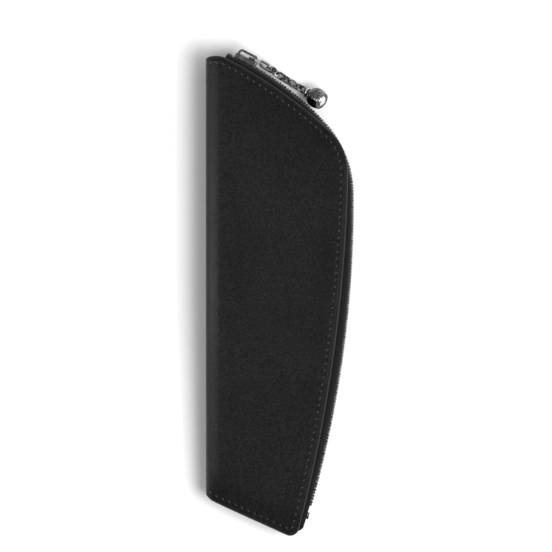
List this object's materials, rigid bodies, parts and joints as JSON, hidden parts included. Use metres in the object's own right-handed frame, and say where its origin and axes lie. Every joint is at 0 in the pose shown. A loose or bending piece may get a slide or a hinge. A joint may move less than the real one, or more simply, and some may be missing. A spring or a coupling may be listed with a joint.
{
  "type": "fountain pen case",
  "caption": "Slim zipped leather pen case with a folded spine, slanted ends, a metal zip and a chained bell-shaped pull.",
  "frame": {"origin": "on the back face that the case rests on, in the middle of the case", "axes": "+X from the folded spine to the zip, +Y along the case to its slanted top, +Z through the thickness to the front panel"},
  "size_m": [0.0524, 0.1723, 0.017],
  "materials": {
    "leather": "smooth, fine pebble grain, satin",
    "lining": "fine twill",
    "interlining": "felted",
    "zip_tape": "woven herringbone",
    "zip_teeth": "bright nickel",
    "slider_metal": "polished nickel",
    "chain_metal": "polished nickel",
    "bell_metal": "polished, slightly smoked",
    "enamel": "gloss enamel",
    "dome_metal": "bright polished"
  },
  "bodies": {
    "root": {"cover_leather": "leather", "cover_lining": "lining", "back_interlining": "interlining", "strip_interlining": "interlining", "top_gusset": "leather", "back_tape": "zip_tape", "head_tape": "zip_tape", "foot_tape": "zip_tape", "back_teeth": "zip_teeth", "head_teeth": "zip_teeth", "foot_teeth": "zip_teeth", "top_stops": "zip_teeth", "end_box": "zip_teeth", "pen_loop": "leather"},
    "flap": {"flap_leather": "leather", "flap_interlining": "interlining", "flap_lining": "lining", "flap_tape": "zip_tape", "flap_teeth": "zip_teeth"},
    "slider": {"slider_body": "slider_metal", "slider_bridge": "slider_metal"},
    "lug": {"pull_lug": "slider_metal"},
    "link_1": {"chain_link_1": "chain_metal"},
    "link_2": {"chain_link_2": "chain_metal"},
    "link_3": {"chain_link_3": "chain_metal"},
    "link_4": {"chain_link_4": "chain_metal"},
    "link_5": {"chain_link_5": "chain_metal"},
    "link_6": {"chain_link_6": "chain_metal"},
    "bell": {"bell_eye": "bell_metal", "bell_collar": "bell_metal", "bell_shell": "bell_metal", "bell_enamel_ring": "enamel", "bell_dome": "dome_metal"}
  },
  "joints": [
    {"name": "slider_travel", "type": "hinge", "parent": "root", "child": "slider", "pos_m": [-0.05993, -0.00909, 0.0085], "axis": [0, 0, -1], "range_deg": [0, 20.16], "deforming": ["back_teeth", "head_teeth", "flap_teeth", "foot_teeth"]},
    {"name": "flap_open", "type": "hinge", "parent": "root", "child": "flap", "pos_m": [-0.00852, 0.07935, 0.017], "axis": [0.1629, -0.9866, 0], "range_deg": [0, 45]},
    {"name": "lug_swing", "type": "hinge", "parent": "slider", "child": "lug", "pos_m": [-0.00966, 0.08311, 0.0085], "axis": [0.4434, -0.2312, 0.866], "range_deg": [0, 90]},
    {"name": "link_1_lift", "type": "hinge", "parent": "lug", "child": "link_1", "pos_m": [-0.00398, 0.08015, 0.0048], "axis": [-0.5332, -0.846, 0], "range_deg": [0, 30]},
    {"name": "link_2_swing", "type": "hinge", "parent": "link_1", "child": "link_2", "pos_m": [-0.00235, 0.07912, 0.0033], "axis": [0.4179, -0.2745, 0.866], "range_deg": [0, 25.1]},
    {"name": "link_3_lift", "type": "hinge", "parent": "link_2", "child": "link_3", "pos_m": [-0.00058, 0.07796, 0.00208], "axis": [-0.5516, -0.8341, 0], "range_deg": [0, 8]},
    {"name": "link_4_swing", "type": "hinge", "parent": "link_3", "child": "link_4", "pos_m": [0.00139, 0.07666, 0.00149], "axis": [0.0147, -0.0095, 0.9998], "range_deg": [0, 23.3]},
    {"name": "link_5_lift", "type": "hinge", "parent": "link_4", "child": "link_5", "pos_m": [0.00344, 0.07534, 0.00144], "axis": [-0.5176, -0.8556, 0], "range_deg": [0, 10]},
    {"name": "link_6_swing", "type": "hinge", "parent": "link_5", "child": "link_6", "pos_m": [0.00551, 0.07408, 0.00174], "axis": [-0.1938, 0.1143, 0.9744], "range_deg": [0, 23.4]},
    {"name": "bell_lift", "type": "hinge", "parent": "link_6", "child": "bell", "pos_m": [0.00756, 0.07288, 0.00229], "axis": [-0.5426, -0.84, 0], "range_deg": [0, 7]}
  ]
}
